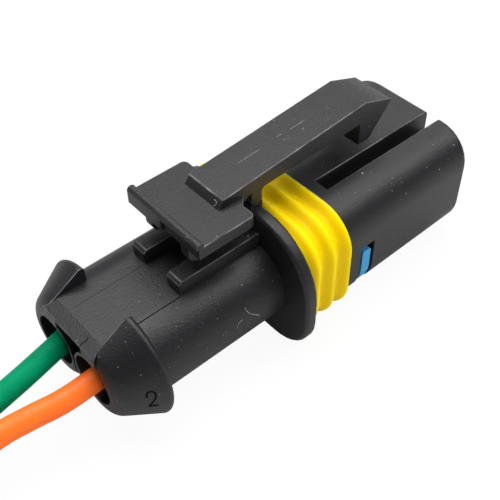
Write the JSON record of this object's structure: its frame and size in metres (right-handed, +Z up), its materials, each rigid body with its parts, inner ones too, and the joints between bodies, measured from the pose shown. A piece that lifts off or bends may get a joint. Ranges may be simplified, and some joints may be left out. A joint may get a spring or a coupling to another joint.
{
  "type": "automotive wire connector plug",
  "caption": "Sealed rectangular automotive plug connector with a rocker latch, ribbed interface seal, secondary lock, keyed mating end and a short pair of tied wires.",
  "frame": {"origin": "under the middle of the connector, on the surface that the flange stands on", "axes": "+X along the connector towards its mating end, +Z up towards the latch, +Y to the side of wire 1"},
  "size_m": [0.0926, 0.0349, 0.0208],
  "materials": {
    "black_nylon": "moulded glass-filled nylon, satin, dusty and lightly scratched",
    "yellow_silicone": "moulded silicone, satin",
    "blue_plastic": "moulded, semi-gloss",
    "tinned_bronze": "stamped sheet, tin-plated",
    "dark_silicone": "moulded silicone, satin",
    "green_insulation": "extruded, semi-gloss",
    "orange_insulation": "extruded, semi-gloss",
    "tie_nylon": "moulded nylon, satin"
  },
  "bodies": {
    "connector": {"housing": "black_nylon", "interface_seal": "yellow_silicone", "terminal_1": "tinned_bronze", "terminal_2": "tinned_bronze", "wire_seal_1": "dark_silicone", "wire_seal_2": "dark_silicone", "wire_1": "green_insulation", "wire_2": "orange_insulation", "wire_coil": "orange_insulation", "coil_tie": "tie_nylon"},
    "latch": {"latch_arm": "black_nylon"},
    "lock": {"secondary_lock": "blue_plastic"}
  },
  "joints": [
    {"name": "latch_rock", "type": "hinge", "parent": "connector", "child": "latch", "pos_m": [-0.00235, 0, 0.01645], "axis": [0, -1, 0], "range_deg": [0, 6], "stiffness_Nm_per_rad": 0.5},
    {"name": "lock_slide", "type": "slide", "parent": "connector", "child": "lock", "axis": [0, 0, -1], "range_m": [0, 0.0011]}
  ]
}
